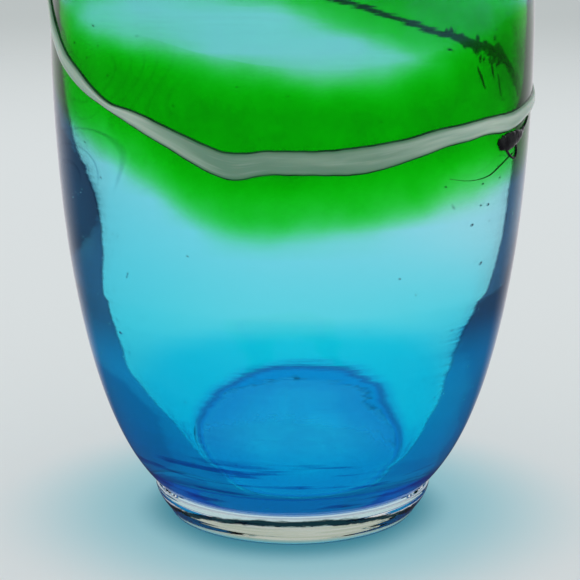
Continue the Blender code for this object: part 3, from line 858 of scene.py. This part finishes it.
def gather_material():
    t = Tree("gather_glass")
    swirl = t.math("ADD", t.noise(10, 5, t.stretched((3, 3, 45))), t.times(t.noise(55, 3), 0.5))
    bump = t.bump(swirl, 0.03, 0.0008)

    # Where a point lies on the hollow's oval, tilted floor.
    x, y, z = t.split(t.place())
    across = t.math("DIVIDE", t.math("SUBTRACT", x, FLOOR_SHIFT), 1 - FLOOR_NARROWING)
    deep = t.math("DIVIDE", t.math("SUBTRACT", y, HEEL_SHIFT_BACK), 1 + FLOOR_LENGTHENING)
    r = t.length(across, deep)
    level = t.math("SUBTRACT", z, t.times(y, FLOOR_TILT))
    near_floor = t.times(t.ramp(level, 0.0180, 0.0195), t.ramp(level, 0.0290, 0.0262))
    edge = CAVITY_FLOOR_RADIUS
    disc = t.times(near_floor, t.ramp(r, edge + 0.0005, edge - 0.0005))
    ring = t.times(t.ramp(r, edge - 0.0030, edge + 0.0002), t.ramp(r, edge + 0.0042, edge + 0.0004))
    ring = t.times(ring, near_floor)
    line = t.times(t.ramp(r, edge - 0.0020, edge - 0.0004), t.ramp(r, edge + 0.0024, edge + 0.0008))
    line = t.times(line, near_floor)
    whorl = t.ramp(t.noise(70, 5, None, 0.7), 0.38, 0.64)
    middle = t.times(t.ramp(r, 0.034, 0.010), t.math("ADD", 0.55, t.times(whorl, 0.45)))

    tint = t.mix(disc, GATHER_TINT, t.mix(middle, FLOOR_RIM_TINT, FLOOR_MIDDLE_TINT))
    glass = t.glass(t.mix(ring, tint, RING_TINT), t.ior(), bump)

    # Painted reflection: a fixed dark tint on the mirror inside the wall. Painted glow: an emission of faint
    # blue that stands for light wandering inside the thick glass.
    facing = t.facing()
    dark = t.mix(t.ramp(facing, MIRROR_FULL, 0.305), PAINTED_MIRROR_STEEP, PAINTED_MIRROR_FLAT)
    dark = t.mix(t.ramp(z, 0.104, 0.084), dark, PAINTED_MIRROR_LOW)
    painted_mirror = t.node("ShaderNodeBsdfGlossy", {"Color": dark, "Roughness": 0.02, "Normal": bump}).outputs[0]
    glow_colour = t.mix(t.ramp(z, 0.074, 0.052), PAINTED_GLOW_HIGH, PAINTED_GLOW_LOW)
    glow_colour = t.mix(t.times(ring, t.ramp(z, 0.050, 0.045)), glow_colour, PAINTED_GLOW_RING)
    glow_colour = t.mix(disc, glow_colour, t.mix(middle, PAINTED_GLOW_FLOOR_RIM, PAINTED_GLOW_FLOOR_MIDDLE))
    painted_glow = t.node("ShaderNodeEmission", {"Color": glow_colour, "Strength": 1.0}).outputs[0]
    painted_mirror = t.node("ShaderNodeAddShader", {0: painted_mirror, 1: painted_glow}).outputs[0]
    skin = t.attribute("skin")
    mirrored = t.times(t.ramp(facing, MIRROR_STARTS, MIRROR_FULL), t.backfacing(), skin)
    mirrored = t.times(mirrored, t.ramp(z, 0.046, 0.078, 0.62, 1.0))
    # Painted dark line: at the edge of the hollow's floor, a ring and a line where the glass gives way to the
    # painted mirror and glow.
    rim = t.math("ADD", t.times(ring, 0.35), t.times(line, 0.60))
    rim = t.math("MAXIMUM", rim, t.times(disc, 0.34))
    shader = t.blend(t.math("MAXIMUM", mirrored, t.times(rim, skin)), glass, painted_mirror)
    volume = t.node("ShaderNodeVolumeAbsorption", {"Color": ABSORPTION, "Density": ABSORPTION_DENSITY})
    return t.finish(shader, volume.outputs[0])


def band_material():
    t = Tree("band_glass")
    tint = t.power_colour(GREEN_LEFT, t.times(t.green(), GREEN_IN_BAND))
    return t.finish(t.glass(tint, 1.0))


def foot_material():
    t = Tree("foot_glass")
    skin = t.attribute("skin")
    x, y, z = t.split(t.place())
    r = t.length(x, y)

    # Painted shade: a straw tint that dims the side, for the light seen through it. Painted light: teal where
    # the view grazes the side and where it meets the table.
    streaks = t.noise(60, 4, t.stretched((1, 1, 26)))
    side = t.mix(t.ramp(streaks, 0.35, 0.65), STRAW_SHADE_DARK, STRAW_SHADE_PALE)
    side = t.mix(t.ramp(t.facing(), 0.70, 0.93), side, PAINTED_GRAZING_TEAL)
    side = t.mix(t.ramp(z, 0.0020, 0.0006), side, PAINTED_CONTACT_TEAL)

    # The jagged dark line, which drops towards the left and right ends.
    ragged = t.noise(130, 5, t.stretched((1, 1, 3.5)), 0.65)
    height = t.math("ADD", z, t.times(t.math("SUBTRACT", ragged, 0.5), FOOT_RAGGEDNESS))
    sideways = t.math("DIVIDE", t.times(x, x), t.times(r, r))
    height = t.math("ADD", height, t.times(sideways, FOOT_LINE_SIDE_DROP))
    # Painted reflection: a pale band under the top edge, where the curved shoulder of the foot mirrors the
    # light.
    side = t.mix(t.ramp(height, 0.0092, 0.0101), side, FOOT_UPPER_PAINTED_REFLECTION)
    side = t.mix(t.times(t.ramp(height, 0.0075, 0.0080), t.ramp(height, 0.0101, 0.0093)), side, FOOT_LINE)

    entering = t.math("SUBTRACT", 1.0, t.backfacing())
    outside = t.times(t.ramp(r, PONTIL_RADIUS + 0.004, PONTIL_RADIUS + 0.006), skin, entering)
    glass = t.glass(t.mix(outside, FOOT_CLEAR, side), t.ior())
    grain = t.mix(t.noise(900, 3), FROST_DARK, FROST_PALE)
    frost = t.node("ShaderNodeBsdfTranslucent", {"Color": grain}).outputs[0]
    body = t.blend(t.attribute("ground"), glass, frost)
    # A painted highlight: a pale opaque strip along the real seam at the foot's top edge.
    seam_highlight = t.principled(Base_Color=PAINTED_SEAM_HIGHLIGHT, Roughness=0.25, IOR=1.5)
    seam_highlight_mask = t.times(t.ramp(z, 0.01005, 0.01030), skin, t.ramp(r, 0.040, 0.042))
    return t.finish(t.blend(seam_highlight_mask, body, seam_highlight))


def ribbon_material():
    t = Tree("ribbon_glass")
    across = t.attribute("across")
    x, y, _ = t.split(t.place())
    cloud = t.noise(1.0, 3, t.joined(t.times(x, 30), t.times(y, 30), t.times(across, 1.1)))
    streak = t.noise(1.0, 4, t.joined(t.times(x, 55), t.times(y, 55), t.times(across, 4.0)), 0.55)
    # Painted light and shade: the ribbon is darker at the front and lighter towards the left and right sides.
    lit_sides = t.ramp(t.math("ABSOLUTE", x), 0.018, 0.060)
    body = t.mix(lit_sides, RIBBON_SHADED_FRONT, RIBBON_LIT_SIDE)
    pale = t.mix(lit_sides, RIBBON_SHADED_FRONT_PALE, RIBBON_LIT_SIDE_PALE)
    body = t.mix(t.ramp(cloud, 0.35, 0.70), body, pale)
    body = t.mix(t.times(t.ramp(streak, 0.50, 0.78), 0.35), body, RIBBON_STREAK)
    edge = t.ramp(t.math("ABSOLUTE", across), 0.60, 1.0)
    colour = t.mix(t.times(edge, 0.70), body, RIBBON_EDGE)
    roughness = t.ramp(streak, 0.2, 0.8, 0.10, 0.22)
    bump = t.bump(streak, 0.15, 0.0005)
    shader = t.principled(Base_Color=colour, Roughness=roughness, IOR=1.5, Normal=bump,
                          Subsurface_Weight=0.15, Subsurface_Scale=0.002)
    return t.finish(shader)


def dark_material(name, low, high, scale, roughness):
    """Near-opaque dark glass, mottled between two colours."""
    t = Tree(name)
    colour = t.mix(t.ramp(t.noise(scale, 4), 0.3, 0.7), low, high)
    bump = t.bump(t.noise(scale * 3, 3), 0.2, 0.0005)
    return t.finish(t.principled(Base_Color=colour, Roughness=roughness, IOR=1.5, Normal=bump))


# ---------------------------------------------------------------- knot and frit
def make_knot():
    """The trail's knot: a lump, the loop hanging from it, and the thread that was pulled off."""
    verts = []
    faces = []
    for route, steps, rough in ((KNOT_ROUTE, 90, 0.26), (LOOP_ROUTE, 60, 0.12), (THREAD_ROUTE, 80, 0.05)):
        stations = []
        for i, (angle, z, width) in enumerate(smooth_route(route, steps)):
            lump = 1 + rough * noise.noise(Vector((i * 0.16, 2.0, 0)))
            lift = min(1.2, 0.25 + width * 0.35)
            stations.append((angle, z, max(width, THINNEST_THREAD) / 1000 * lump, lift))
        strand = swept(stations, bead_section(-0.0004, KNOT_HEIGHT, BEAD_POINTS), False)
        join(verts, faces, strand[0], strand[1])
    return make_piece("knot", verts, faces, ["dark_trail_knot"])


def chip(verts, faces, centre, normal, size, rng):
    """One flat broken bit of glass lying on the wall."""
    any_way = Vector((rng.uniform(-1, 1), rng.uniform(-1, 1), rng.uniform(-1, 1)))
    tangent = normal.cross(any_way).normalized()
    other = normal.cross(tangent)
    corners = rng.randint(5, 7)
    first = len(verts)
    long_way = rng.uniform(1.0, 1.9)
    for level, shrink in ((-0.35, 0.8), (0.12, 1.0), (0.34, 0.55)):
        for k in range(corners):
            a = 2 * pi * k / corners
            reach = size * shrink * rng.uniform(0.75, 1.15)
            verts.append(centre + tangent * cos(a) * reach * long_way + other * sin(a) * reach
                         + normal * size * level * 1.2)
    for level in range(2):
        a = first + level * corners
        b = a + corners
        for k in range(corners):
            m = (k + 1) % corners
            faces.append((a + k, a + m, b + m, b + k))
    faces.append(tuple(first + k for k in range(corners - 1, -1, -1)))
    faces.append(tuple(first + 2 * corners + k for k in range(corners)))


def make_frit():
    """The rough patch: chips scattered along its route, and the splinters apart from it."""
    rng = random.Random(5)
    route = smooth_route(FRIT_ROUTE, 60)
    verts = []
    faces = []
    for _ in range(FRIT_BITS):
        angle, z, width = rng.choice(route)
        z += rng.gauss(0, 0.24) * width
        angle += rng.uniform(-1.1, 1.1)
        here, normal = surface_frame(angle, z / 1000)
        chip(verts, faces, here, normal, rng.choice(FRIT_SIZES), rng)
    for (angle_a, z_a), (angle_b, z_b), width in FRIT_SPLINTERS:
        stations = []
        for k in range(9):
            t = k / 8
            wide = width * (0.25 + sin(pi * t)) / 1000 * rng.uniform(0.8, 1.2)
            angle = angle_a + (angle_b - angle_a) * t + rng.uniform(-0.12, 0.12)
            stations.append((angle, z_a + (z_b - z_a) * t, wide, 0.6))
        bit = swept(stations, bead_section(-0.0003, SPLINTER_HEIGHT, 6), False)
        join(verts, faces, bit[0], bit[1])
    return make_piece("frit", verts, faces, ["dark_frit_patch"])


# ---------------------------------------------------------------- stage
# What is on the +Y side counts as lit: the share of +Y in a direction, from dim to bright.
LIT_FROM = 0.50
LIT_FULL = 1.08
LIGHT = (0.80, 0.82, 0.83)
BACKDROP = (0.50, 0.54, 0.54)
PAPER = (0.87, 0.91, 0.915)
PAINTED_PAPER_GLOW = (0.42, 0.76, 0.82)
PAINTED_CONTACT_SHADOW = (0.12, 0.44, 0.54)
PAINTED_GLOW_UNDER_GLASS = (0.58, 0.75, 0.86)
CAMERA_TILT = radians(11.98)


def make_floor():
    """A round sheet that fades out into the backdrop, with the aqua light that the vase throws on it and a
    shadow at the foot, both painted into its colour.
    """
    rings = [0.03, 0.06, 0.12, 0.25, 0.5, 1.0, 2.0, 4.0]
    verts = [(0, 0, 0)]
    segments = 96
    for r in rings:
        for s in range(segments):
            a = 2 * pi * s / segments
            verts.append((r * cos(a), r * sin(a), 0))
    faces = [(0, 1 + s, 1 + (s + 1) % segments) for s in range(segments)]
    for k in range(len(rings) - 1):
        a = 1 + k * segments
        b = a + segments
        for s in range(segments):
            t = (s + 1) % segments
            faces.append((a + s, b + s, b + t, a + t))
    mesh = bpy.data.meshes.new("floor")
    mesh.from_pydata(verts, [], faces)
    mesh.shade_smooth()
    ob = bpy.data.objects.new("floor", mesh)
    ob.location.z = -0.00005
    bpy.context.scene.collection.objects.link(ob)
    ob.data.materials.append(floor_material())
    return ob


def floor_material():
    t = Tree("floor_paper")
    x, y, _ = t.split(t.place())
    r = t.length(x, y)
    share = t.math("DIVIDE", y, t.math("ADD", r, 0.001))
    reach = t.math("ADD", r, t.times(t.ramp(share, -0.55, -1.0), -0.003))
    # Painted light and shade: an aqua pool round the vase and a dark contact shadow at its foot.
    paper = t.mix(t.ramp(reach, 0.047, 0.104), PAINTED_PAPER_GLOW, PAPER)
    near = t.mix(t.ramp(reach, 0.037, 0.054), PAINTED_CONTACT_SHADOW, paper)
    lit_paper = t.node("ShaderNodeBsdfDiffuse", {"Color": near}).outputs[0]
    even = t.node("ShaderNodeEmission", {"Color": near, "Strength": 0.80}).outputs[0]
    seen = t.blend(0.5, lit_paper, even)
    # The same painted aqua pool, in what the glass sees near the vase.
    through = t.mix(t.ramp(r, 0.045, 0.160), PAINTED_GLOW_UNDER_GLASS, BRIGHT)
    path = t.node("ShaderNodeLightPath").outputs
    mirrored = t.times(path["Is Glossy Ray"], t.math("SUBTRACT", 1.0, path["Is Transmission Ray"]))
    through = t.mix(t.times(mirrored, t.ramp(share, LIT_FULL, LIT_FROM)), through, DIM_SIDE)
    glass_sees = t.node("ShaderNodeEmission", {"Color": through, "Strength": 1.0}).outputs[0]
    lit = t.blend(path["Is Camera Ray"], glass_sees, seen)
    clear = t.node("ShaderNodeBsdfTransparent").outputs[0]
    return t.finish(t.blend(t.ramp(r, 0.7, 2.2), lit, clear))


def make_world():
    """An even studio, with a dim front side that shows only in what the glass mirrors."""
    t = Tree("studio", world=True)
    bpy.context.scene.world = t.owner
    path = t.node("ShaderNodeLightPath").outputs
    way = t.split(t.node("ShaderNodeTexCoord").outputs["Generated"])[1]
    colour = t.mix(path["Is Glossy Ray"], LIGHT, t.mix(t.ramp(way, LIT_FROM, LIT_FULL), DIM_SIDE, BRIGHT))
    colour = t.mix(path["Is Transmission Ray"], colour, BRIGHT)
    colour = t.mix(path["Is Camera Ray"], colour, BACKDROP)
    t.finish(t.node("ShaderNodeBackground", {"Color": colour}).outputs[0])


def make_camera():
    """A long lens that looks a little down at the lower body, so that the shoulder is out of the frame."""
    data = bpy.data.cameras.new("camera")
    data.sensor_width = 36
    data.lens = 116.2
    data.shift_x = -0.0043
    data.shift_y = -0.0424
    data.clip_start = 0.01
    data.clip_end = 20
    ob = bpy.data.objects.new("camera", data)
    ob.location = (0, -0.58693, 0.20454)
    ob.rotation_euler = (pi / 2 - CAMERA_TILT, 0, 0)
    bpy.context.scene.collection.objects.link(ob)
    bpy.context.scene.camera = ob


def set_up_light():
    """Plain colours, and enough bounces for light to cross every layer of both walls."""
    scene = bpy.context.scene
    scene.view_settings.view_transform = "Standard"
    scene.cycles.max_bounces = 40
    scene.cycles.transmission_bounces = 40
    scene.cycles.glossy_bounces = 12
    scene.cycles.transparent_max_bounces = 24
    scene.cycles.diffuse_bounces = 4
    scene.cycles.volume_bounces = 0


def main():
    set_up_light()
    casing = make_casing()
    gather = make_gather()
    foot = make_foot()
    band = make_band()
    dark, white = make_trails()
    knot = make_knot()
    frit = make_frit()

    for piece, material in (
        (casing, casing_material()),
        (gather, gather_material()),
        (foot, foot_material()),
        (band, band_material()),
        (white, ribbon_material()),
        (dark, dark_material("trail_glass", *TRAIL_COLOURS, 120, 0.08)),
        (knot, dark_material("knot_glass", *KNOT_COLOURS, 300, 0.05)),
        (frit, dark_material("frit_glass", *FRIT_COLOURS, 400, 0.15)),
    ):
        piece.data.materials.append(material)

    make_floor()
    make_world()
    make_camera()


main()
